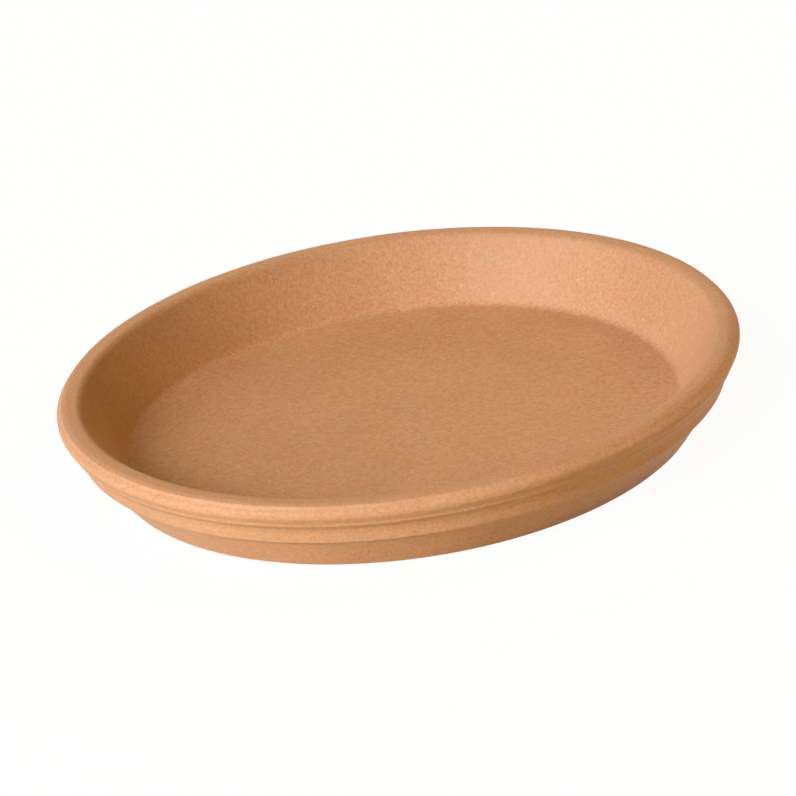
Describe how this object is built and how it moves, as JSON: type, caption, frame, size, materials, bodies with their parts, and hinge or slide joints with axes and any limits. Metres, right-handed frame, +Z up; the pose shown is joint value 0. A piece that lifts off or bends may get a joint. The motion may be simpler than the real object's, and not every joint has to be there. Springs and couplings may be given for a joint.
{
  "type": "plant saucer",
  "caption": "Round shallow plant saucer of fired clay with a banded rim, flared wall and flat floor.",
  "frame": {"origin": "centre of the foot ring, on the plane that the saucer stands on", "axes": "+Z up along the axis of the round dish; X and Y lie in the plane that it stands on"},
  "size_m": [0.25, 0.25, 0.031],
  "materials": {
    "terracotta": "matte"
  },
  "bodies": {
    "root": {"saucer": "terracotta"}
  },
  "joints": []
}
